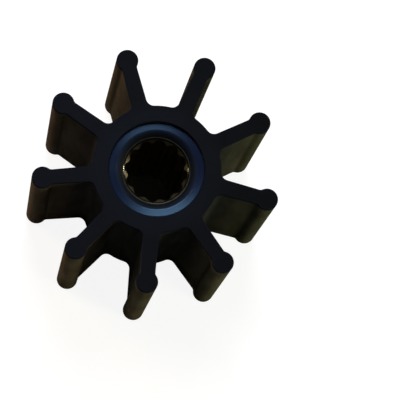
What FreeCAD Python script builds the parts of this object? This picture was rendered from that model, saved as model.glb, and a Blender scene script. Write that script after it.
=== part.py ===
"""Flexible rubber pump impeller: straight bead-tipped vanes on a hub, with a splined brass bore.

The impeller stands on its rear face, with its axis along +Z and the origin on the axis in that face.
The first vane points along +X. Lengths are in millimetres. Both ends are alike, because such an
impeller can be fitted either way round.
"""

import FreeCAD, Part
import math
import os

import Sketcher

# Driving dimensions: the alias of each cell, its size, and what it is.
SIZES = [
    ("rubber_length", 56.0, "length of the rubber along the axis"),
    ("tip_radius", 32.5, "axis to the outermost point of a vane"),
    ("vane_count", 9, "number of vanes"),
    ("vane_root_width", 4.25, "thickness of a vane inside the hub wall"),
    ("vane_neck_width", 3.85, "thickness of a vane where it meets its bead"),
    ("bead_radius", 2.85, "round bead along the tip of a vane"),
    ("root_fillet", 2.1, "fillet between a vane and the hub"),
    ("neck_fillet", 1.2, "fillet between a vane and its bead"),
    ("edge_bevel", 0.3, "small bevel along the rubber's end edges"),
    ("hub_wall", 4.2, "thickness of the rubber hub outside the sleeve"),
    ("sleeve_wall", 2.35, "thickness of the sleeve outside the bush"),
    ("sleeve_recess", 1.2, "from the rubber's end face down to the end of the sleeve"),
    ("sleeve_bevel", 0.3, "bevel round the outer edge of the sleeve's ends"),
    ("ring_width", 2.25, "from the outside of the sleeve in to where its dished mouth starts"),
    ("mouth_bevel", 0.65, "bevel that eases the edge between the ring and the mouth"),
    ("mouth_depth", 1.55, "from the ring down its dished mouth to the end of the bush"),
    ("mouth_edge", 0.3, "rim of the bush that shows at the bottom of the mouth"),
    ("key_count", 3, "number of grooves that lock the rubber to the sleeve"),
    ("key_width", 4.0, "width of a locking groove along the axis"),
    ("key_depth", 0.6, "depth of a locking groove"),
    ("bush_wall", 1.9, "thickness of the bush outside its grooves"),
    ("spline_count", 12, "number of grooves in the bore"),
    ("spline_minor_radius", 7.45, "axis to the crest of a tooth"),
    ("spline_depth", 0.85, "from the crest of a tooth to the bottom of a groove"),
    ("spline_groove_radius", 1.65, "round bottom of a groove"),
    ("spline_turn", 7.0, "degrees from the first vane to the first groove"),
    ("lead_in_edge", 0.3, "from the bottom of a groove to the wide end of the lead-in bevel"),
    ("lead_in_depth", 1.1, "depth of that bevel along the axis"),
]
SIZE = {alias: value for alias, value, _ in SIZES}

# What makes up each radius: the walls lie round each other from the bore outwards.
GROOVE_BOTTOM = ("spline_minor_radius", "spline_depth")
LEAD_IN = (*GROOVE_BOTTOM, "lead_in_edge")
MOUTH = (*LEAD_IN, "mouth_edge")
BUSH = (*GROOVE_BOTTOM, "bush_wall")
SLEEVE = (*BUSH, "sleeve_wall")
RING_INSIDE = (*SLEEVE, "-ring_width")
HUB = (*SLEEVE, "hub_wall")

# What makes up the depth of the bush's end below the rubber's end.
BUSH_RECESS = ("sleeve_recess", "mouth_depth")

# How near, in mm, an edge must lie to the place where it is looked for.
FOUND_WITHIN = 0.01


def size(*names):
    """The sum of named sizes, those with a leading minus taken away, as a value and an expression."""
    value = 0
    expression = ""
    for name in names:
        sign = "-" if name.startswith("-") else "+"
        alias = name.lstrip("-")
        value += float(sign + "1") * SIZE[alias]
        expression += f" {sign} Sizes.{alias}"
    return value, expression.lstrip("+ ")


def below_front(*names):
    """The height that lies the sum of named sizes below the front face, as size() gives it."""
    return size("rubber_length", *("-" + name for name in names))


# The locking grooves share the length of the sleeve evenly, with the same space before and after them.
KEY_PITCH = size("rubber_length", "-sleeve_recess", "-sleeve_recess")[0] / (SIZE["key_count"] + 1)
KEY_PITCH_EXPRESSION = "(Sizes.rubber_length - 2 * Sizes.sleeve_recess) / (Sizes.key_count + 1)"
FIRST_KEY_START = (
    SIZE["sleeve_recess"] + KEY_PITCH - SIZE["key_width"] / 2,
    "Sizes.sleeve_recess + " + KEY_PITCH_EXPRESSION + " - Sizes.key_width / 2",
)
FIRST_KEY_END = (
    SIZE["sleeve_recess"] + KEY_PITCH + SIZE["key_width"] / 2,
    "Sizes.sleeve_recess + " + KEY_PITCH_EXPRESSION + " + Sizes.key_width / 2",
)


def make_sheet(doc):
    sheet = doc.addObject("Spreadsheet::Sheet", "Sizes")
    for row, (alias, value, meaning) in enumerate(SIZES, start=1):
        sheet.set(f"A{row}", alias)
        sheet.set(f"B{row}", str(value))
        sheet.set(f"C{row}", meaning)
        sheet.setAlias(f"B{row}", alias)
    doc.recompute()


def new_body(doc, label):
    body = doc.addObject("PartDesign::Body", label)
    body.Label = label
    return body


def origin_feature(body, role):
    return next(feature for feature in body.Origin.OriginFeatures if feature.Role == role)


def new_sketch(body, name, plane):
    sketch = body.newObject("Sketcher::SketchObject", name)
    sketch.AttachmentSupport = [(origin_feature(body, plane), "")]
    sketch.MapMode = "FlatFace"
    return sketch


def bind(sketch, constraint, expression):
    """Adds a sized constraint whose value comes from the sheet."""
    index = sketch.addConstraint(constraint)
    sketch.setExpression(f"Constraints[{index}]", expression)


def add_circle(sketch, centre, *names):
    """A circle whose radius is the sum of named sizes."""
    radius, expression = size(*names)
    index = sketch.addGeometry(Part.Circle(centre, FreeCAD.Vector(0, 0, 1), radius), False)
    bind(sketch, Sketcher.Constraint("Radius", index, radius), expression)
    return index


def draw_circle(sketch, *names):
    """A circle about the axis."""
    circle = add_circle(sketch, FreeCAD.Vector(0, 0, 0), *names)
    sketch.addConstraint(Sketcher.Constraint("Coincident", circle, 3, -1, 1))


def draw_section(sketch, corners):
    """A closed polygon. Each corner is its radius and its height, as size() gives them."""
    points = [FreeCAD.Vector(across[0], up[0], 0) for across, up in corners]
    lines = []
    for start, end in zip(points, points[1:] + points[:1]):
        lines.append(sketch.addGeometry(Part.LineSegment(start, end), False))
    for line, following in zip(lines, lines[1:] + lines[:1]):
        sketch.addConstraint(Sketcher.Constraint("Coincident", line, 2, following, 1))
    for line, (across, up) in zip(lines, corners):
        bind(sketch, Sketcher.Constraint("DistanceX", -1, 1, line, 1, across[0]), across[1])
        bind(sketch, Sketcher.Constraint("DistanceY", -1, 1, line, 1, up[0]), up[1])


def pad(body, name, sketch):
    """Raises a sketch from the rear face over the whole length of the rubber."""
    feature = body.newObject("PartDesign::Pad", name)
    feature.Profile = sketch
    feature.setExpression("Length", size("rubber_length")[1])
    return feature


def cut_through(body, name, sketch):
    """Cuts a sketch away from the rear face up to the front face."""
    feature = body.newObject("PartDesign::Pocket", name)
    feature.Profile = sketch
    feature.Reversed = True
    feature.setExpression("Length", size("rubber_length")[1])
    return feature


def turn(body, name, kind, sketch):
    """Turns a section about the axis, to add it (Revolution) or to cut it away (Groove)."""
    feature = body.newObject("PartDesign::" + kind, name)
    feature.Profile = sketch
    feature.ReferenceAxis = (sketch, ["V_Axis"])
    feature.Angle = 360
    return feature


def repeat_round(body, name, feature, count):
    """Copies a feature evenly round the axis."""
    pattern = body.newObject("PartDesign::PolarPattern", name)
    pattern.Originals = [feature]
    pattern.Axis = (origin_feature(body, "Z_Axis"), [""])
    pattern.Angle = 360
    pattern.setExpression("Occurrences", size(count)[1])
    body.Tip = pattern
    return pattern


def draw_first_key(body, name):
    """The section of the locking groove nearest the rear, which reaches as far into the rubber."""
    sketch = new_sketch(body, name, "XZ_Plane")
    inner = size(*SLEEVE, "-key_depth")
    outer = size(*SLEEVE, "key_depth")
    corners = [
        (inner, FIRST_KEY_START),
        (outer, FIRST_KEY_START),
        (outer, FIRST_KEY_END),
        (inner, FIRST_KEY_END),
    ]
    draw_section(sketch, corners)
    return sketch


def repeat_keys(body, name, feature):
    """Copies the first locking groove, or the rubber in it, along the sleeve."""
    pattern = body.newObject("PartDesign::LinearPattern", name)
    pattern.Originals = [feature]
    pattern.Direction = (origin_feature(body, "Z_Axis"), [""])
    pattern.Mode = "Spacing"
    pattern.setExpression("Offset", KEY_PITCH_EXPRESSION)
    pattern.setExpression("Occurrences", size("key_count")[1])
    body.Tip = pattern
    return pattern


def edges_where(base, chosen):
    return [f"Edge{i}" for i, edge in enumerate(base.Shape.Edges, start=1) if chosen(edge)]


def fillet_edges(body, name, base, chosen, radius):
    """Fills the inner corners of base for which chosen(edge) is true with a fillet."""
    feature = body.newObject("PartDesign::Fillet", name)
    feature.Base = (base, edges_where(base, chosen))
    feature.setExpression("Radius", size(radius)[1])
    return feature


def bevel_edges(body, name, base, chosen, width):
    feature = body.newObject("PartDesign::Chamfer", name)
    feature.Base = (base, edges_where(base, chosen))
    feature.setExpression("Size", size(width)[1])
    return feature


def is_upright_at(distance):
    """A test for edges that run along the axis at a distance from it."""

    def test(edge):
        box = edge.BoundBox
        upright = math.hypot(box.XLength, box.YLength) < FOUND_WITHIN < box.ZLength
        return upright and abs(math.hypot(box.Center.x, box.Center.y) - distance) < FOUND_WITHIN

    return test


def is_flat_at(heights):
    """A test for edges that lie flat at one of some heights."""

    def test(edge):
        box = edge.BoundBox
        return any(max(abs(box.ZMin - z), abs(box.ZMax - z)) < FOUND_WITHIN for z in heights)

    return test


def check_cut(before, after):
    """A cut that points away from the solid shows no error, so the volumes are compared."""
    if after.Shape.Volume >= before.Shape.Volume:
        raise RuntimeError(f"{after.Label} cuts nothing away")


def vane_neck():
    """Where the side of the first vane meets its bead, as a distance along X and along Y."""
    half_width = SIZE["vane_neck_width"] / 2
    bead_x = size("tip_radius", "-bead_radius")[0]
    return bead_x - math.sqrt(SIZE["bead_radius"] ** 2 - half_width**2), half_width


def draw_vane(sketch):
    """The first vane, seen along the axis: a tapering web from inside the hub wall, and its bead."""
    neck_x, neck_y = vane_neck()
    bead_x, bead_expression = size("tip_radius", "-bead_radius")
    root_x = size(*SLEEVE)[0] + SIZE["hub_wall"] / 2
    root_y = SIZE["vane_root_width"] / 2
    neck_angle = math.atan2(neck_y, neck_x - bead_x)

    lower_root, upper_root = FreeCAD.Vector(root_x, -root_y, 0), FreeCAD.Vector(root_x, root_y, 0)
    lower_neck, upper_neck = FreeCAD.Vector(neck_x, -neck_y, 0), FreeCAD.Vector(neck_x, neck_y, 0)
    circle = Part.Circle(FreeCAD.Vector(bead_x, 0, 0), FreeCAD.Vector(0, 0, 1), SIZE["bead_radius"])
    lower_side = sketch.addGeometry(Part.LineSegment(lower_root, lower_neck), False)
    bead = sketch.addGeometry(Part.ArcOfCircle(circle, -neck_angle, neck_angle), False)
    upper_side = sketch.addGeometry(Part.LineSegment(upper_neck, upper_root), False)
    root = sketch.addGeometry(Part.LineSegment(upper_root, lower_root), False)

    sketch.addConstraint(Sketcher.Constraint("Coincident", lower_side, 2, bead, 1))
    sketch.addConstraint(Sketcher.Constraint("Coincident", bead, 2, upper_side, 1))
    sketch.addConstraint(Sketcher.Constraint("Coincident", upper_side, 2, root, 1))
    sketch.addConstraint(Sketcher.Constraint("Coincident", root, 2, lower_side, 1))
    sketch.addConstraint(Sketcher.Constraint("PointOnObject", bead, 3, -1))
    sketch.addConstraint(Sketcher.Constraint("Symmetric", root, 1, root, 2, -1))
    sketch.addConstraint(Sketcher.Constraint("Symmetric", bead, 1, bead, 2, -1))
    root_expression = size(*SLEEVE)[1] + " + Sizes.hub_wall / 2"
    root_width, neck_width = size("vane_root_width"), size("vane_neck_width")
    bind(sketch, Sketcher.Constraint("DistanceX", -1, 1, root, 1, root_x), root_expression)
    bind(sketch, Sketcher.Constraint("DistanceX", -1, 1, bead, 3, bead_x), bead_expression)
    bind(sketch, Sketcher.Constraint("Radius", bead, SIZE["bead_radius"]), size("bead_radius")[1])
    bind(sketch, Sketcher.Constraint("DistanceY", root, 2, root, 1, root_width[0]), root_width[1])
    bind(sketch, Sketcher.Constraint("DistanceY", bead, 1, bead, 2, neck_width[0]), neck_width[1])


def make_vane_body(doc):
    """The rubber moulding: hub and vanes in one piece, moulded round the sleeve."""
    body = new_body(doc, "vane_body")

    hub_sketch = new_sketch(body, "HubCircle", "XY_Plane")
    draw_circle(hub_sketch, *HUB)
    pad(body, "Hub", hub_sketch)
    vane_sketch = new_sketch(body, "VaneOutline", "XY_Plane")
    draw_vane(vane_sketch)
    vanes = repeat_round(body, "Vanes", pad(body, "Vane", vane_sketch), "vane_count")
    doc.recompute()

    at_hub = is_upright_at(size(*HUB)[0])
    roots = fillet_edges(body, "RootFillets", vanes, at_hub, "root_fillet")
    doc.recompute()
    at_neck = is_upright_at(math.hypot(*vane_neck()))
    necks = fillet_edges(body, "NeckFillets", roots, at_neck, "neck_fillet")
    doc.recompute()

    seat_sketch = new_sketch(body, "SleeveSeat", "XY_Plane")
    draw_circle(seat_sketch, *SLEEVE)
    seat = cut_through(body, "Seat", seat_sketch)
    doc.recompute()
    check_cut(necks, seat)

    at_ends = is_flat_at([0, SIZE["rubber_length"]])
    body.Tip = bevel_edges(body, "EndEdges", seat, at_ends, "edge_bevel")
    doc.recompute()

    key = turn(body, "Key", "Revolution", draw_first_key(body, "KeySection"))
    repeat_keys(body, "Keys", key)
    doc.recompute()
    return body


def make_insert_sleeve(doc):
    """The sleeve, moulded round the bush. Its recessed ends show as a ring round a dished mouth."""
    body = new_body(doc, "insert_sleeve")
    section = new_sketch(body, "SleeveSection", "XZ_Plane")
    rear_end, front_end = size("sleeve_recess"), below_front("sleeve_recess")
    rear_seat, front_seat = size(*BUSH_RECESS), below_front(*BUSH_RECESS)
    corners = [
        (size(*SLEEVE), rear_end),
        (size(*SLEEVE), front_end),
        (size(*RING_INSIDE), front_end),
        (size(*MOUTH), front_seat),
        (size(*BUSH), front_seat),
        (size(*BUSH), rear_seat),
        (size(*MOUTH), rear_seat),
        (size(*RING_INSIDE), rear_end),
    ]
    draw_section(section, corners)
    tube = turn(body, "Tube", "Revolution", section)
    doc.recompute()

    at_ends = is_flat_at([rear_end[0], front_end[0]])

    def is_inner_end(edge):
        return at_ends(edge) and abs(edge.BoundBox.XMax - size(*RING_INSIDE)[0]) < FOUND_WITHIN

    def is_outer_end(edge):
        return at_ends(edge) and abs(edge.BoundBox.XMax - size(*SLEEVE)[0]) < FOUND_WITHIN

    eased = bevel_edges(body, "MouthBevels", tube, is_inner_end, "mouth_bevel")
    doc.recompute()
    bevelled = bevel_edges(body, "EndBevels", eased, is_outer_end, "sleeve_bevel")
    doc.recompute()

    key = turn(body, "Key", "Groove", draw_first_key(body, "KeySection"))
    keys = repeat_keys(body, "Keys", key)
    doc.recompute()
    check_cut(bevelled, keys)
    return body


def make_splined_bush(doc):
    """The brass bush that the shaft drives: bevelled mouths, and grooves with round bottoms."""
    body = new_body(doc, "splined_bush")
    section = new_sketch(body, "BushSection", "XZ_Plane")
    rear_end, front_end = size(*BUSH_RECESS), below_front(*BUSH_RECESS)
    rear_crest = size(*BUSH_RECESS, "lead_in_depth")
    front_crest = below_front(*BUSH_RECESS, "lead_in_depth")
    corners = [
        (size(*BUSH), rear_end),
        (size(*BUSH), front_end),
        (size(*LEAD_IN), front_end),
        (size("spline_minor_radius"), front_crest),
        (size("spline_minor_radius"), rear_crest),
        (size(*LEAD_IN), rear_end),
    ]
    draw_section(section, corners)
    tube = turn(body, "Tube", "Revolution", section)
    doc.recompute()

    groove_sketch = new_sketch(body, "GrooveCircle", "XY_Plane")
    reach, reach_expression = size(*GROOVE_BOTTOM, "-spline_groove_radius")
    turned = math.radians(SIZE["spline_turn"])
    centre = FreeCAD.Vector(reach * math.cos(turned), reach * math.sin(turned), 0)
    groove_circle = add_circle(groove_sketch, centre, "spline_groove_radius")
    arm = groove_sketch.addGeometry(Part.LineSegment(FreeCAD.Vector(0, 0, 0), centre), True)
    groove_sketch.addConstraint(Sketcher.Constraint("Coincident", arm, 1, -1, 1))
    groove_sketch.addConstraint(Sketcher.Constraint("Coincident", arm, 2, groove_circle, 3))
    bind(groove_sketch, Sketcher.Constraint("Distance", arm, reach), reach_expression)
    bind(groove_sketch, Sketcher.Constraint("Angle", arm, turned), size("spline_turn")[1])
    splines = repeat_round(body, "Splines", cut_through(body, "Groove", groove_sketch), "spline_count")
    doc.recompute()
    check_cut(tube, splines)
    return body


def main():
    doc = FreeCAD.newDocument("impeller")
    make_sheet(doc)
    bodies = [make_vane_body(doc), make_insert_sleeve(doc), make_splined_bush(doc)]

    for item in doc.Objects:
        if "Invalid" in item.State or "Error" in item.State:
            raise RuntimeError(f"{item.Label} failed: {item.State}")
    for body in bodies:
        if body.Shape.isNull() or not body.Shape.isValid() or len(body.Shape.Solids) != 1:
            raise RuntimeError(f"{body.Label} is not one valid solid")

    os.makedirs("parts", exist_ok=True)
    for body in bodies:
        body.Shape.exportStep(f"parts/{body.Label}.step")
        print(body.Label, round(body.Shape.Volume, 1), "mm3 in", len(body.Shape.Faces), "faces")


main()
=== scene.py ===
"""A flexible rubber pump impeller on a white table: nine vanes, a blue ring and a splined brass bore.

It stands on its rear face, with its axis along +Z and a vane along +X. Lengths are in metres.
"""

import math

import bmesh
import bpy
from mathutils import Matrix, Vector


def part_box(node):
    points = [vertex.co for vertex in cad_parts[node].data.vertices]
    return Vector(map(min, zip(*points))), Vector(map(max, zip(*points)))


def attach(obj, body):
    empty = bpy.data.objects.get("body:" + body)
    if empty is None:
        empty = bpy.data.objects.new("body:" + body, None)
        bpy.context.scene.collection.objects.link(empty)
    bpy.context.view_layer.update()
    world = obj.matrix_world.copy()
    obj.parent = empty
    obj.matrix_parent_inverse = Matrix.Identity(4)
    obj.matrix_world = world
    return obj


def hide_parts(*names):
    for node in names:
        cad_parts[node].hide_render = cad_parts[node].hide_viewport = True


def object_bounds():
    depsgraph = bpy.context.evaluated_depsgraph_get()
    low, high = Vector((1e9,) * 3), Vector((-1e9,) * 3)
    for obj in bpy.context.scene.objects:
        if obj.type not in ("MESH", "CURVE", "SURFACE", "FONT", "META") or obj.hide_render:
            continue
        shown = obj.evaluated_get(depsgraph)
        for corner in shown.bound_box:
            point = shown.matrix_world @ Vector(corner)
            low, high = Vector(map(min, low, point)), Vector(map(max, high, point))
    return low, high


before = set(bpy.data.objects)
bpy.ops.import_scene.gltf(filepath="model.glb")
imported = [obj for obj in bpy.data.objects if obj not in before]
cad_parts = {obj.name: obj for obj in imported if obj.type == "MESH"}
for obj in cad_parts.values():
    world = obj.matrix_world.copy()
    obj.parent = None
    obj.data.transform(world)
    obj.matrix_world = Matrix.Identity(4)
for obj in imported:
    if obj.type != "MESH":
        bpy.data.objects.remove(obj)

cad_low, cad_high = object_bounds()
scene = bpy.context.scene
scene.view_settings.view_transform = "Standard"

# The view. The camera stands almost over the impeller and looks down past its front end, so the
# sides of the vanes show towards the lower left. It is turned about its line of sight, and aims at
# a point beside the impeller, which puts the impeller in the upper left of the picture.
VIEW_AZIMUTH = math.radians(137.24)
VIEW_ELEVATION = math.radians(78.73)
VIEW_ROLL = math.radians(27.95)
VIEW_DISTANCE = 0.6567
LENS_MM = 228.6
AIM_POINT = Vector((-0.01069, -0.00864, cad_high.z))


def direction(azimuth, elevation):
    """The unit vector towards an azimuth, counted from +X, and an elevation."""
    flat = Vector((math.cos(azimuth), math.sin(azimuth), 0)) * math.cos(elevation)
    return flat + Vector((0, 0, math.sin(elevation)))


camera = bpy.data.objects.new("camera", bpy.data.cameras.new("camera"))
scene.collection.objects.link(camera)
camera.data.lens = LENS_MM
camera.data.clip_start = 0.01
camera.matrix_world = (
    Matrix.Translation(AIM_POINT + direction(VIEW_AZIMUTH, VIEW_ELEVATION) * VIEW_DISTANCE)
    @ Matrix.Rotation(VIEW_AZIMUTH + math.pi / 2, 4, "Z")
    @ Matrix.Rotation(math.pi / 2 - VIEW_ELEVATION, 4, "X")
    @ Matrix.Rotation(VIEW_ROLL, 4, "Z")
)
scene.camera = camera

# The light. Three soft lamps stand round the table: a cool one high over the far side, and two warmer
# ones, low to the right and the left, which reach the sides of the vanes. Two small windows, low on
# either side, only glint in what shines.
LAMP_DISTANCE = 0.7
LAMP_SIDE = 0.26
WINDOW_SIDE = 0.05


def add_lamp(name, azimuth, elevation, side, level, colour):
    """A square lamp that faces the impeller, from an azimuth and an elevation in degrees.

    Its level is the brightness of a white sheet that faces it.
    """
    lamp = bpy.data.objects.new(name, bpy.data.lights.new(name, "AREA"))
    scene.collection.objects.link(lamp)
    lamp.data.size = side
    lamp.data.color = colour
    lamp.data.energy = level * (math.pi * LAMP_DISTANCE) ** 2
    towards = direction(math.radians(azimuth), math.radians(elevation))
    lamp.location = Vector((0, 0, cad_high.z / 2)) + towards * LAMP_DISTANCE
    lamp.rotation_mode = "QUATERNION"
    lamp.rotation_quaternion = towards.to_track_quat("Z", "Y")
    lamp.visible_camera = False
    return lamp


add_lamp("key_lamp", 345, 60, LAMP_SIDE, 0.85, (0.82, 0.92, 1.0))
right_lamp = add_lamp("right_lamp", 224.7, 14, LAMP_SIDE, 0.64, (1.0, 1.0, 0.62))
left_lamp = add_lamp("left_lamp", 44.7, 14, LAMP_SIDE, 0.72, (1.0, 0.72, 0.45))
right_window = add_lamp("right_window", 263.7, 18, WINDOW_SIDE, 0.26, (1.0, 1.0, 0.85))
left_window = add_lamp("left_window", 66.7, 12, WINDOW_SIDE, 0.018, (1.0, 1.0, 0.6))
for lamp in (right_lamp, left_lamp):
    lamp.visible_glossy = False
for lamp in (right_window, left_window):
    lamp.visible_diffuse = False

# The table top, a plain white sheet. It looks pure white to the camera, darker only where the impeller
# keeps the light off it, and the round patch of it under the bore lies in the dark.
SHEET_SIDE = 3.0
SHEET_WHITE = (0.8, 0.8, 0.8, 1)
CAMERA_WHITE = (0.2, 0.2, 0.2, 1)
CAMERA_GLOW = 0.9
BORE_PATCH_RADIUS = 0.012


def add_node(tree, kind, inputs, **settings):
    """A node with its settings. Each of its inputs gets a value, or a link from an output."""
    node = tree.nodes.new(kind)
    for name, setting in settings.items():
        setattr(node, name, setting)
    for socket, given in inputs.items():
        if isinstance(given, bpy.types.NodeSocket):
            tree.links.new(given, node.inputs[socket])
        else:
            node.inputs[socket].default_value = given
    return node


def number(tree, operation, *values):
    """A number worked out from one or more others."""
    return add_node(tree, "ShaderNodeMath", dict(enumerate(values)), operation=operation).outputs[0]


def vector_math(tree, operation, inputs):
    """The outputs of a node that works on vectors or colours."""
    return add_node(tree, "ShaderNodeVectorMath", inputs, operation=operation).outputs


def multiplied(tree, vector, factors):
    """A vector or a colour, with each of its three parts multiplied by a factor of its own."""
    return vector_math(tree, "MULTIPLY", {0: vector, 1: factors})[0]


def from_axis(tree, place):
    """How far a place is from the impeller's axis."""
    return vector_math(tree, "LENGTH", {0: multiplied(tree, place, (1, 1, 0))})["Value"]


def in_mirrors(tree, ray):
    """1 for what shows in a shiny or clear surface, or else 0."""
    return number(tree, "MAXIMUM", ray["Is Glossy Ray"], ray["Is Transmission Ray"])


def new_material(name):
    """A new material, its node tree, and the node output that says which place on the object it is."""
    made = bpy.data.materials.new(name)
    made.use_nodes = True
    tree = made.node_tree
    tree.nodes.clear()
    return made, tree, add_node(tree, "ShaderNodeTexCoord", {}).outputs["Object"]


def cover(tree, kind, inputs):
    """Makes a shader, and makes it the surface of the material."""
    shader = add_node(tree, kind, inputs)
    add_node(tree, "ShaderNodeOutputMaterial", {"Surface": shader.outputs[0]})


def white_paper():
    """The sheet: it looks white to the camera and in mirrors, and is plain white paper otherwise."""
    made, tree, place = new_material("white_paper")
    outside_bore = number(tree, "GREATER_THAN", from_axis(tree, place), BORE_PATCH_RADIUS)
    strength = number(tree, "MULTIPLY", outside_bore, CAMERA_GLOW)
    glow = add_node(tree, "ShaderNodeEmission", {"Strength": strength})
    seen_white = add_node(tree, "ShaderNodeBsdfDiffuse", {"Color": CAMERA_WHITE})
    bright = add_node(tree, "ShaderNodeAddShader", {0: glow.outputs[0], 1: seen_white.outputs[0]})
    lit = add_node(tree, "ShaderNodeBsdfDiffuse", {"Color": SHEET_WHITE})
    ray = add_node(tree, "ShaderNodeLightPath", {}).outputs
    seen = number(tree, "MAXIMUM", ray["Is Camera Ray"], in_mirrors(tree, ray))
    cover(tree, "ShaderNodeMixShader", {"Fac": seen, 1: lit.outputs[0], 2: bright.outputs[0]})
    return made


reach = SHEET_SIDE / 2
sheet_corners = [(-reach, -reach, 0), (reach, -reach, 0), (reach, reach, 0), (-reach, reach, 0)]
sheet_mesh = bpy.data.meshes.new("table")
sheet_mesh.from_pydata(sheet_corners, [], [(0, 1, 2, 3)])
sheet_mesh.materials.append(white_paper())
table = bpy.data.objects.new("table", sheet_mesh)
scene.collection.objects.link(table)

# The room round the table is white to the camera. What shines mirrors it as white low down and dark
# overhead, where the ceiling is far off, and only its faint glow falls on the impeller.
ROOM_LEVEL = 0.02
CEILING_LEVEL = 0.02
WHITE_UP_TO = 0.12
DARK_FROM = 0.34


def mapped(tree, value, old, new=(0, 1), steepness="LINEAR"):
    """A number carried over from one range to another, and kept inside it."""
    inputs = {
        "Value": value,
        "From Min": old[0],
        "From Max": old[1],
        "To Min": new[0],
        "To Max": new[1],
    }
    node = add_node(tree, "ShaderNodeMapRange", inputs, interpolation_type=steepness)
    return node.outputs["Result"]


def mixed(tree, share, first, second, kind="RGBA", blend="MIX"):
    """A colour or a number that is a share of the way from the first to the second."""
    inputs = {"Factor": share, "A": first, "B": second}
    return add_node(tree, "ShaderNodeMix", inputs, data_type=kind, blend_type=blend).outputs["Result"]


room = bpy.data.worlds.new("room")
scene.world = room
room.use_nodes = True
tree = room.node_tree
ray = add_node(tree, "ShaderNodeLightPath", {}).outputs
towards = add_node(tree, "ShaderNodeTexCoord", {}).outputs["Generated"]
height = add_node(tree, "ShaderNodeSeparateXYZ", {0: towards}).outputs["Z"]
mirrored = mapped(tree, height, (WHITE_UP_TO, DARK_FROM), (1, CEILING_LEVEL))
unseen = mixed(tree, in_mirrors(tree, ray), ROOM_LEVEL, mirrored, kind="FLOAT")
strength = mixed(tree, ray["Is Camera Ray"], unseen, 1, kind="FLOAT")
tree.links.new(strength, tree.nodes["Background"].inputs["Strength"])

# The rubber body: hub, vanes and beads are one moulding round the sleeve. Its sides keep an olive
# bloom of the mould, with painted warm light that turns one side brown and painted shade towards the
# hub, and its two ends are ground flat and blue-black, with a painted sheen on one side.
VANE_COUNT = 9
BEAD_RADIUS = 0.00285
HUB_RADIUS = 0.01675
VANE_ROOT_WIDTH = 0.00425
VANE_NECK_WIDTH = 0.00385
ROOT_FILLET = 0.0021
NECK_FILLET = 0.0012
EDGE_ROUND = 0.0003
SEAT_EDGE_ROUND = 0.0002
KEY_COUNT = 3
KEY_WIDTH = 0.004
KEY_DEPTH = 0.0006
WELD_DISTANCE = 0.00001
HUB_STEPS = 8
ROOT_STEPS = 9
WEB_STEPS = 12
NECK_STEPS = 6
BEAD_STEPS = 16
EDGE_STEPS = 4
SIDE_STEPS = 28
SEAT_STEPS = 14

rubber_length = cad_high.z
tip_radius = cad_high.x
seat_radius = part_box("insert_sleeve")[1].x
sleeve_low, sleeve_high = (corner.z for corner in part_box("insert_sleeve"))
half_sector = math.pi / VANE_COUNT


def arc(middle, radius, start, end, steps):
    """Points along an arc, from the angle start to the angle end, without the last one."""
    angles = [start + (end - start) * i / steps for i in range(steps)]
    return [middle + radius * Vector((math.cos(a), math.sin(a))) for a in angles]


def fillet_middle(start, along, fillet, middle, reach, way):
    """The middle of a fillet that touches a line and lies at a distance of reach from another middle.

    The way is 1 for the fillet further along the line, and -1 for the one before it.
    """
    outward = Vector((-along.y, along.x))
    base = start + outward * fillet - middle
    sideways = base.dot(outward)
    return middle + base + along * (way * math.sqrt(reach**2 - sideways**2) - base.dot(along))


def half_vane_outline():
    """The outline of half a vane, from half way to the next vane round to the tip."""
    axis = Vector((0, 0))
    bead = Vector((tip_radius - BEAD_RADIUS, 0))
    neck_half, root_half = VANE_NECK_WIDTH / 2, VANE_ROOT_WIDTH / 2
    neck = Vector((bead.x - math.sqrt(BEAD_RADIUS**2 - neck_half**2), neck_half))
    start = Vector(((HUB_RADIUS + seat_radius) / 2, root_half))
    along = (neck - start).normalized()
    outward = Vector((-along.y, along.x))
    root = fillet_middle(start, along, ROOT_FILLET, axis, HUB_RADIUS + ROOT_FILLET, 1)
    collar = fillet_middle(start, along, NECK_FILLET, bead, BEAD_RADIUS + NECK_FILLET, -1)
    root_angle = math.atan2(root.y, root.x)
    side_angle = math.atan2(-outward.y, -outward.x)
    collar_angle = math.atan2(collar.y - bead.y, collar.x - bead.x)
    side_start, side_end = root - outward * ROOT_FILLET, collar - outward * NECK_FILLET

    points = arc(axis, HUB_RADIUS, half_sector, root_angle, HUB_STEPS)
    points += arc(root, ROOT_FILLET, root_angle - math.pi, side_angle, ROOT_STEPS)
    points += [side_start.lerp(side_end, i / WEB_STEPS) for i in range(WEB_STEPS)]
    points += arc(collar, NECK_FILLET, side_angle, collar_angle - math.pi, NECK_STEPS)
    points += arc(bead, BEAD_RADIUS, collar_angle, 0, BEAD_STEPS)
    return points + [bead + Vector((BEAD_RADIUS, 0))]


def outline_normals(points):
    """The way out of the rubber at each point of the outline."""
    before = [points[0]] + points[:-1]
    after = points[1:] + [points[-1]]
    normals = [Vector((a.y - b.y, b.x - a.x)).normalized() for a, b in zip(before, after)]
    normals[0], normals[-1] = points[0].normalized(), points[-1].normalized()
    return normals


def edge_rows(radius):
    """Inset and depth of each row over an edge that is rounded, from the face down to the side."""
    turns = [math.pi / 2 * i / EDGE_STEPS for i in range(EDGE_STEPS)]
    return [(radius * (1 - math.sin(a)), radius * (1 - math.cos(a))) for a in turns]


def side_profile():
    """Inset and height of each row of the outer wall, from the front face to the rear face."""
    front = edge_rows(EDGE_ROUND)
    straight = rubber_length - 2 * EDGE_ROUND
    rows = [(inset, rubber_length - depth) for inset, depth in front]
    rows += [(0, EDGE_ROUND + straight * (1 - i / SIDE_STEPS)) for i in range(SIDE_STEPS + 1)]
    return rows + [(inset, depth) for inset, depth in reversed(front)]


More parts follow.
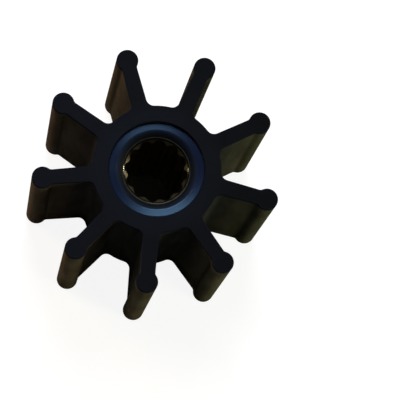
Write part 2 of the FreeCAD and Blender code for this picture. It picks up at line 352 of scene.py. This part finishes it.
def seat_profile():
    """Radius and height of each row of the inner wall. Its ribs fill the grooves round the sleeve."""
    front = edge_rows(SEAT_EDGE_ROUND)
    rows = [(seat_radius + inset, rubber_length - depth) for inset, depth in front]
    rows.append((seat_radius, rubber_length - SEAT_EDGE_ROUND))
    pitch = (sleeve_high - sleeve_low) / (KEY_COUNT + 1)
    for key in range(KEY_COUNT, 0, -1):
        middle = sleeve_low + key * pitch
        upper, lower = middle + KEY_WIDTH / 2, middle - KEY_WIDTH / 2
        rib = seat_radius - KEY_DEPTH
        rows += [(seat_radius, upper), (rib, upper), (rib, lower), (seat_radius, lower)]
    rows.append((seat_radius, SEAT_EDGE_ROUND))
    return rows + [(seat_radius + inset, depth) for inset, depth in reversed(front)]


def add_strips(mesh, rows, faces_outwards):
    """Faces between rows of points, each row as long as the next."""
    made = []
    for upper, lower in zip(rows, rows[1:]):
        for a, b, c, d in zip(upper, upper[1:], lower[1:], lower):
            made.append(mesh.faces.new((a, b, c, d) if faces_outwards else (d, c, b, a)))
    return made


half = half_vane_outline()
outline = half + [Vector((p.x, -p.y)) for p in reversed(half[:-1])]
half_normals = outline_normals(half)
normals = half_normals + [Vector((n.x, -n.y)) for n in reversed(half_normals[:-1])]
seat_angles = [half_sector * (1 - 2 * i / SEAT_STEPS) for i in range(SEAT_STEPS + 1)]

sector = bmesh.new()
end_layer = sector.faces.layers.float.new("ground_end")
outer_rows = [
    [sector.verts.new((*(p - n * inset), z)) for p, n in zip(outline, normals)]
    for inset, z in side_profile()
]
inner_rows = [
    [sector.verts.new((radius * math.cos(a), radius * math.sin(a), z)) for a in seat_angles]
    for radius, z in seat_profile()
]
for face in add_strips(sector, outer_rows, False) + add_strips(sector, inner_rows, True):
    face.smooth = True
front_end = sector.faces.new(inner_rows[0] + outer_rows[0][::-1])
rear_end = sector.faces.new(outer_rows[-1] + inner_rows[-1][::-1])
for face in (front_end, rear_end):
    face[end_layer] = 1
one_vane = bpy.data.meshes.new("one_vane")
sector.to_mesh(one_vane)
sector.free()

# Painted light and shade in these colours: the sides turn brown on one side as painted warm light,
# darken towards the hub as painted shade and lighten towards the tips as painted light; the ends turn
# lighter and bluer on that side as a painted sheen, and darker out on the vanes as painted shade.
MOULDED_OLIVE = (0.0300, 0.0290, 0.0175, 1)
MOULDED_BROWN_WARM_LIT = (0.0370, 0.0275, 0.0175, 1)
GROUND_BLACK_SHADED = (0.0035, 0.0040, 0.0055, 1)
GROUND_BLUE_SHEENED = (0.0068, 0.0081, 0.0134, 1)
WARM_LIT_SIDE = Vector((0.264, 0.965, 0))
HUB_PAINTED_SHADE = (0.60, 0.73, 1.20, 1)
TIP_PAINTED_LIGHT = (1.72, 1.72, 1.85, 1)
GROUND_TIP_PAINTED_SHADE = (0.83, 0.76, 0.72, 1)
FADE_FROM = 0.0003
FADE_TO = 0.0016
BLOOM_WANDER = 0.05
PATTERN_SPREAD = (0.3, 0.7)
MOTTLE_LEVELS = (0.72, 1.28)
MOTTLE_STRETCH = (1, 1, 0.2)


def noise(tree, place, scale, detail):
    """A cloudy pattern, mostly within PATTERN_SPREAD."""
    inputs = {"Vector": place, "Scale": scale, "Detail": detail}
    return add_node(tree, "ShaderNodeTexNoise", inputs).outputs["Fac"]


def bumps(tree, height, strength, depth):
    """The way a surface faces where a pattern raises and lowers it."""
    inputs = {"Height": height, "Strength": strength, "Distance": depth}
    return add_node(tree, "ShaderNodeBump", inputs).outputs["Normal"]


def from_middle(tree, place):
    """How far up or down a place is from the middle of the impeller's length."""
    height = add_node(tree, "ShaderNodeSeparateXYZ", {0: place}).outputs["Z"]
    return number(tree, "ABSOLUTE", number(tree, "SUBTRACT", height, rubber_length / 2))


def scaled(tree, colour, factor):
    """A colour made darker or lighter by a factor."""
    return vector_math(tree, "SCALE", {0: colour, "Scale": factor})[0]


def bloom_and_lit_side_share(tree, place):
    """From 0 on the olive side of the impeller to 1 on its brown side, where warm light is painted on,
    made uneven by patches where the rubber has bloomed.
    """
    across = vector_math(tree, "DOT_PRODUCT", {0: place, 1: WARM_LIT_SIDE})["Value"]
    patches = noise(tree, place, scale=110, detail=3)
    uneven = number(tree, "MULTIPLY_ADD", patches, BLOOM_WANDER, across)
    middle = BLOOM_WANDER / 2
    return mapped(tree, uneven, (middle - tip_radius, middle + tip_radius))


def moulded_rubber():
    """The sides: olive, or brown with painted warm light, darker near the hub with painted shade and
    lighter towards the tips with painted light, mottled, and blue-black by the ends.
    """
    made, tree, place = new_material("moulded_rubber")
    # Brown on one side: painted warm light, over real patches of bloom.
    bloom_and_warm_light = mixed(tree, bloom_and_lit_side_share(tree, place), MOULDED_OLIVE, MOULDED_BROWN_WARM_LIT)
    outwards = mapped(tree, from_axis(tree, place), (HUB_RADIUS, tip_radius))
    # Darker near the hub and lighter towards the tips: painted shade and painted light.
    toned_by_painted_light = multiplied(tree, bloom_and_warm_light, mixed(tree, outwards, HUB_PAINTED_SHADE, TIP_PAINTED_LIGHT))
    mottle = noise(tree, multiplied(tree, place, MOTTLE_STRETCH), scale=260, detail=5)
    patchy = scaled(tree, toned_by_painted_light, mapped(tree, mottle, PATTERN_SPREAD, MOTTLE_LEVELS))
    fade = (rubber_length / 2 - FADE_TO, rubber_length / 2 - FADE_FROM)
    near_end = mapped(tree, from_middle(tree, place), fade, steepness="SMOOTHSTEP")
    grain = noise(tree, place, scale=1800, detail=3)
    cover(tree, "ShaderNodeBsdfPrincipled", {
        "Base Color": mixed(tree, near_end, patchy, GROUND_BLUE_SHEENED),
        "Roughness": 0.65,
        "Specular IOR Level": 0,
        "Normal": bumps(tree, grain, strength=0.25, depth=0.00005),
    })
    return made


def ground_rubber():
    """The ends: blue-black with a fine grain, lighter and bluer on the brown side with a painted
    sheen, and duller out on the vanes with painted shade.
    """
    made, tree, place = new_material("ground_rubber")
    # Lighter and bluer on the brown side: a painted sheen.
    bluish = mixed(tree, bloom_and_lit_side_share(tree, place), GROUND_BLACK_SHADED, GROUND_BLUE_SHEENED)
    # Darker out on the vanes: painted shade.
    vane_root = (HUB_RADIUS - ROOT_FILLET, HUB_RADIUS + ROOT_FILLET)
    on_vane = mapped(tree, from_axis(tree, place), vane_root)
    grain = noise(tree, place, scale=3000, detail=2)
    cover(tree, "ShaderNodeBsdfPrincipled", {
        "Base Color": mixed(tree, on_vane, bluish, GROUND_TIP_PAINTED_SHADE, blend="MULTIPLY"),
        "Roughness": 0.8,
        "Specular IOR Level": 0.06,
        "Normal": bumps(tree, grain, strength=0.2, depth=0.00003),
    })
    return made


# One vane and its share of the hub stand nine times round the axis, and are welded into one skin.
tree = bpy.data.node_groups.new("vanes_round_hub", "GeometryNodeTree")
tree.interface.new_socket("Geometry", in_out="INPUT", socket_type="NodeSocketGeometry")
count_socket = tree.interface.new_socket("Vane Count", in_out="INPUT", socket_type="NodeSocketInt")
weld_socket = tree.interface.new_socket("Weld Distance", in_out="INPUT", socket_type="NodeSocketFloat")
side_socket = tree.interface.new_socket("Sides", in_out="INPUT", socket_type="NodeSocketMaterial")
end_socket = tree.interface.new_socket("Ends", in_out="INPUT", socket_type="NodeSocketMaterial")
tree.interface.new_socket("Geometry", in_out="OUTPUT", socket_type="NodeSocketGeometry")
given = add_node(tree, "NodeGroupInput", {}).outputs
spots = add_node(tree, "GeometryNodePoints", {"Count": given["Vane Count"]})
index = add_node(tree, "GeometryNodeInputIndex", {})
part_of_turn = number(tree, "DIVIDE", index.outputs[0], given["Vane Count"])
angle = number(tree, "MULTIPLY", part_of_turn, math.tau)
turned = add_node(tree, "ShaderNodeCombineXYZ", {"Z": angle})
placed = add_node(tree, "GeometryNodeInstanceOnPoints", {
    "Points": spots.outputs[0],
    "Instance": given["Geometry"],
    "Rotation": turned.outputs[0],
})
separate = add_node(tree, "GeometryNodeRealizeInstances", {0: placed.outputs[0]})
welded = add_node(tree, "GeometryNodeMergeByDistance", {
    "Geometry": separate.outputs[0],
    "Distance": given["Weld Distance"],
})
sides = add_node(tree, "GeometryNodeSetMaterial", {
    "Geometry": welded.outputs[0],
    "Material": given["Sides"],
})
end_mark = add_node(tree, "GeometryNodeInputNamedAttribute", {"Name": "ground_end"})
marked = {"A": end_mark.outputs["Attribute"], "B": 0.5}
is_end = add_node(tree, "FunctionNodeCompare", marked, operation="GREATER_THAN")
ends = add_node(tree, "GeometryNodeSetMaterial", {
    "Geometry": sides.outputs[0],
    "Selection": is_end.outputs[0],
    "Material": given["Ends"],
})
add_node(tree, "NodeGroupOutput", {0: ends.outputs[0]})

vanes = bpy.data.objects.new("rubber_vanes", one_vane)
scene.collection.objects.link(vanes)
growing = vanes.modifiers.new("vanes_round_hub", "NODES")
growing.node_group = tree
growing[count_socket.identifier] = VANE_COUNT
growing[weld_socket.identifier] = WELD_DISTANCE
growing[side_socket.identifier] = moulded_rubber()
growing[end_socket.identifier] = ground_rubber()
evaluated = vanes.evaluated_get(bpy.context.evaluated_depsgraph_get())
moulding = bpy.data.meshes.new_from_object(evaluated)
vanes.modifiers.clear()
skin = bmesh.new()
skin.from_mesh(moulding)
bmesh.ops.recalc_face_normals(skin, faces=skin.faces)
skin.to_mesh(moulding)
skin.free()
vanes.data = moulding
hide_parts("vane_body")
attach(vanes, "root")

# The sleeve, a hard blue moulding round the bush. Its ends were faced in a lathe, so the ring has fine
# circles in it and shines in two fans. The ring rolls over into a dished mouth, which is dull, and
# whose colour fades to near black inside as painted shade.
RING_INSIDE_RADIUS = 0.0103
RING_DROP = 0.0002
RING_HOLLOW = 0.6
RING_ROUND = 0.0013
RING_STEPS = 8
MOUTH_RADIUS = 0.0089
OUTER_ROUND = 0.0003
OUTER_STEPS = 4
ROLL_STEPS = 10
TURN_STEPS = 144
CORNER_ANGLE = math.radians(25)

bush_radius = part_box("splined_bush")[1].x
bush_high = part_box("splined_bush")[1].z


def rounded_corner(before, corner, after, radius, steps):
    """Points over a corner of an outline that is rounded with a radius."""
    back, on = (before - corner).normalized(), (after - corner).normalized()
    half_angle = back.angle(on) / 2
    reach = radius / math.tan(half_angle)
    middle = corner + (back + on).normalized() * (radius / math.sin(half_angle))
    start = (corner + back * reach - middle).normalized()
    end = (corner + on * reach - middle).normalized()
    return [middle + start.slerp(end, i / steps) * radius for i in range(steps + 1)]


def on_ring_face(radius):
    """A point of the ring's face, which is a little hollow and sinks towards its mouth."""
    share = (seat_radius - radius) / (seat_radius - RING_INSIDE_RADIUS)
    return Vector((radius, sleeve_high - RING_DROP * share * (1 + RING_HOLLOW * (1 - share))))


def sleeve_end_profile():
    """Radius and height over the front end, from the outer wall across to the inner wall."""
    outer, brink = on_ring_face(seat_radius), on_ring_face(RING_INSIDE_RADIUS)
    bottom = Vector((MOUTH_RADIUS, bush_high))
    down_the_wall = outer - Vector((0, OUTER_ROUND * 2))
    inwards = on_ring_face(seat_radius - OUTER_ROUND)
    edge = rounded_corner(down_the_wall, outer, inwards, OUTER_ROUND, OUTER_STEPS)
    outwards = on_ring_face(RING_INSIDE_RADIUS + RING_ROUND / 2)
    roll = rounded_corner(outwards, brink, bottom, RING_ROUND, ROLL_STEPS)
    step = (roll[0].x - edge[-1].x) / RING_STEPS
    face = [on_ring_face(edge[-1].x + step * i) for i in range(1, RING_STEPS)]
    return edge + face + roll + [bottom, Vector((bush_radius, bush_high))]


def sleeve_profile():
    """The closed outline of the sleeve's wall: the rear end, the grooves outside, the front end."""
    front = sleeve_end_profile()
    rear = [Vector((p.x, rubber_length - p.y)) for p in front]
    pitch = (sleeve_high - sleeve_low) / (KEY_COUNT + 1)
    groove = seat_radius - KEY_DEPTH
    outside = []
    for key in range(1, KEY_COUNT + 1):
        middle = sleeve_low + key * pitch
        lower, upper = middle - KEY_WIDTH / 2, middle + KEY_WIDTH / 2
        steps = [(seat_radius, lower), (groove, lower), (groove, upper), (seat_radius, upper)]
        outside += [Vector(step) for step in steps]
    return rear[::-1] + outside + front


def finished_mesh(name, skin):
    """A mesh of a closed skin, facing outwards, and smooth except at its sharper corners."""
    bmesh.ops.recalc_face_normals(skin, faces=skin.faces)
    for face in skin.faces:
        face.smooth = True
    for edge in skin.edges:
        edge.smooth = edge.calc_face_angle() < CORNER_ANGLE
    made = bpy.data.meshes.new(name)
    skin.to_mesh(made)
    skin.free()
    return made


turned_wall = bmesh.new()
turn_angles = [math.tau * i / TURN_STEPS for i in range(TURN_STEPS)]
rings = [
    [turned_wall.verts.new((p.x * math.cos(a), p.x * math.sin(a), p.y)) for a in turn_angles]
    for p in sleeve_profile()
]
for ring_row, next_row in zip(rings, rings[1:] + rings[:1]):
    add_strips(turned_wall, [ring_row + ring_row[:1], next_row + next_row[:1]], True)
sleeve_mesh = finished_mesh("blue_sleeve", turned_wall)

RING_BLUE = (0.0048, 0.0060, 0.0225, 1)
# The mouth's near-black and grey colours, and its fade from blue, are painted shade.
MOUTH_SHADE_BLACK = (0.0022, 0.0025, 0.0036, 1)
MOUTH_SHADE_GREY = (0.0034, 0.0038, 0.0048, 1)
MOUTH_BLUE = (0.0072, 0.0112, 0.0235, 1)
FACED_SHINE = (0.36, 0.66, 1.0, 1)
MOUTH_SHADE_TO = 0.0091
RING_FACED_FROM = 0.0104
RING_ROUGHNESS = (0.28, 0.4)


def faced_blue_plastic():
    """The ring: shiny across the fine circles that the lathe left in it."""
    made, tree, place = new_material("faced_blue_plastic")
    inputs = {"W": from_axis(tree, place), "Scale": 5000, "Detail": 3}
    circles = add_node(tree, "ShaderNodeTexNoise", inputs, noise_dimensions="1D").outputs["Fac"]
    round_axis = add_node(tree, "ShaderNodeTangent", {}, direction_type="RADIAL", axis="Z")
    cover(tree, "ShaderNodeBsdfPrincipled", {
        "Base Color": RING_BLUE,
        "Roughness": mapped(tree, circles, PATTERN_SPREAD, RING_ROUGHNESS),
        "Specular IOR Level": 0.37,
        "Specular Tint": FACED_SHINE,
        "Anisotropic": 0.85,
        "Anisotropic Rotation": 0.25,
        "Normal": bumps(tree, circles, strength=0.4, depth=0.00001),
        "Tangent": round_axis.outputs[0],
    })
    return made


def dull_mouth():
    """The mouth: dull, with stains, and blue near the ring fading to almost black near the bush as
    painted shade.
    """
    made, tree, place = new_material("dull_mouth")
    stains = noise(tree, place, scale=420, detail=4)
    # The near-black colours here are painted shade; the noise between them is stains.
    stained = mixed(tree, stains, MOUTH_SHADE_BLACK, MOUTH_SHADE_GREY)
    # Blue near the ring, fading to almost black down the mouth: painted shade.
    shade_lifted = mapped(tree, from_axis(tree, place), (MOUTH_SHADE_TO, RING_FACED_FROM))
    grain = noise(tree, place, scale=2600, detail=2)
    cover(tree, "ShaderNodeBsdfPrincipled", {
        "Base Color": mixed(tree, shade_lifted, stained, MOUTH_BLUE),
        "Roughness": 0.6,
        "Specular IOR Level": 0.1,
        "Normal": bumps(tree, grain, strength=0.3, depth=0.00003),
    })
    return made


sleeve_mesh.materials.append(faced_blue_plastic())
sleeve_mesh.materials.append(dull_mouth())
for face in sleeve_mesh.polygons:
    if face.center.xy.length < RING_FACED_FROM:
        face.material_index = 1
sleeve = bpy.data.objects.new("blue_sleeve", sleeve_mesh)
scene.collection.objects.link(sleeve)
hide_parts("insert_sleeve")
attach(sleeve, "root")

# The bush, turned and broached from brass, with twelve round-bottomed grooves for the shaft. Handling
# keeps the rounded rim of its mouth bright, its flat end is blackened, and the bevel and the grooves
# further in are tarnished.
SPLINE_COUNT = 12
CREST_RADIUS = 0.00745
GROOVE_BOTTOM = 0.0083
GROOVE_ROUND = 0.00165
FIRST_GROOVE = math.radians(7)
LEAD_IN_RADIUS = 0.0086
LEAD_IN_DEPTH = 0.0011
RIM_ROUND = 0.0005
RIM_STEPS = 6
GROOVE_STEPS = 16
CREST_STEPS = 3
BORE_STEPS = 8

groove_middle = GROOVE_BOTTOM - GROOVE_ROUND
squares = CREST_RADIUS**2 + groove_middle**2 - GROOVE_ROUND**2
groove_half = math.acos(squares / (2 * CREST_RADIUS * groove_middle))


def bore_outline():
    """Angle and radius of each point round the bore: the grooves and the crests between them."""
    pitch = math.tau / SPLINE_COUNT
    points = []
    for groove in range(SPLINE_COUNT):
        middle = FIRST_GROOVE + groove * pitch
        for i in range(GROOVE_STEPS + 1):
            off = groove_half * (2 * i / GROOVE_STEPS - 1)
            along, aside = groove_middle * math.cos(off), groove_middle * math.sin(off)
            points.append((middle + off, along + math.sqrt(GROOVE_ROUND**2 - aside**2)))
        for i in range(1, CREST_STEPS):
            off = groove_half + (pitch - 2 * groove_half) * i / CREST_STEPS
            points.append((middle + off, CREST_RADIUS))
    return points


def bush_profile(bore_radius):
    """The closed outline of the bush's wall where its bore has a radius, as radius and height."""
    outer = Vector((bush_radius, bush_high))
    rim = Vector((LEAD_IN_RADIUS, bush_high))
    bevel_end = Vector((CREST_RADIUS, bush_high - LEAD_IN_DEPTH))
    front = [outer] + rounded_corner(outer, rim, bevel_end, RIM_ROUND, RIM_STEPS)
    down_bevel = (LEAD_IN_RADIUS - bore_radius) / (LEAD_IN_RADIUS - CREST_RADIUS)
    meeting = rim.lerp(bevel_end, down_bevel)
    front += [front[-1].lerp(meeting, 0.5), meeting]
    rear = [Vector((p.x, rubber_length - p.y)) for p in reversed(front)]
    wall = [meeting.lerp(rear[0], i / BORE_STEPS) for i in range(1, BORE_STEPS)]
    return front + wall + rear


broached = bmesh.new()
columns = []
for angle, bore_radius in bore_outline():
    across = direction(angle, 0)
    profile = bush_profile(bore_radius)
    columns.append([broached.verts.new(across * p.x + Vector((0, 0, p.y))) for p in profile])
for column, next_column in zip(columns, columns[1:] + columns[:1]):
    add_strips(broached, [column + column[:1], next_column + next_column[:1]], True)
bush_mesh = finished_mesh("brass_bush", broached)

BLACKENED_BRASS = (0.018, 0.016, 0.012)
WORN_BRASS = (0.12, 0.11, 0.08)
TARNISHED_BRASS = (0.24, 0.19, 0.105)
DULL, POLISHED = 0, 1
WEAR_DEPTH = 0.0004
WEAR_STOPS = [
    (0.0, TARNISHED_BRASS, DULL),
    (0.4, WORN_BRASS, POLISHED),
    (0.87, WORN_BRASS, POLISHED),
    (0.93, BLACKENED_BRASS, DULL),
]
STAIN_LEVELS = (0.65, 1.3)
BRASS_ROUGHNESS = (0.42, 0.17)
BROACH_STRETCH = (1, 1, 0.02)


def worn_brass(tree, place):
    """The brass's colour and its polish, which change over the last WEAR_DEPTH before each end."""
    bush_end = bush_high - rubber_length / 2
    near_end = mapped(tree, from_middle(tree, place), (bush_end - WEAR_DEPTH, bush_end))
    wear = add_node(tree, "ShaderNodeValToRGB", {"Fac": near_end})
    stops = wear.color_ramp.elements
    while len(stops) < len(WEAR_STOPS):
        stops.new(1)
    for stop, (position, brass_colour, shine) in zip(stops, WEAR_STOPS):
        stop.position = position
        stop.color = (*brass_colour, shine)
    return wear.outputs["Color"], wear.outputs["Alpha"]


def broached_brass():
    """The bush's material: stained, and with the marks of the broach drawn along the bore."""
    made, tree, place = new_material("broached_brass")
    colour, polish = worn_brass(tree, place)
    stains = mapped(tree, noise(tree, place, scale=700, detail=4), PATTERN_SPREAD, STAIN_LEVELS)
    broach_marks = noise(tree, multiplied(tree, place, BROACH_STRETCH), scale=4000, detail=2)
    cover(tree, "ShaderNodeBsdfPrincipled", {
        "Base Color": scaled(tree, colour, stains),
        "Metallic": 1,
        "Roughness": mapped(tree, polish, (DULL, POLISHED), BRASS_ROUGHNESS),
        "Normal": bumps(tree, broach_marks, strength=0.3, depth=0.00001),
    })
    return made


bush_mesh.materials.append(broached_brass())
bush = bpy.data.objects.new("brass_bush", bush_mesh)
scene.collection.objects.link(bush)
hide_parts("splined_bush")
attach(bush, "root")
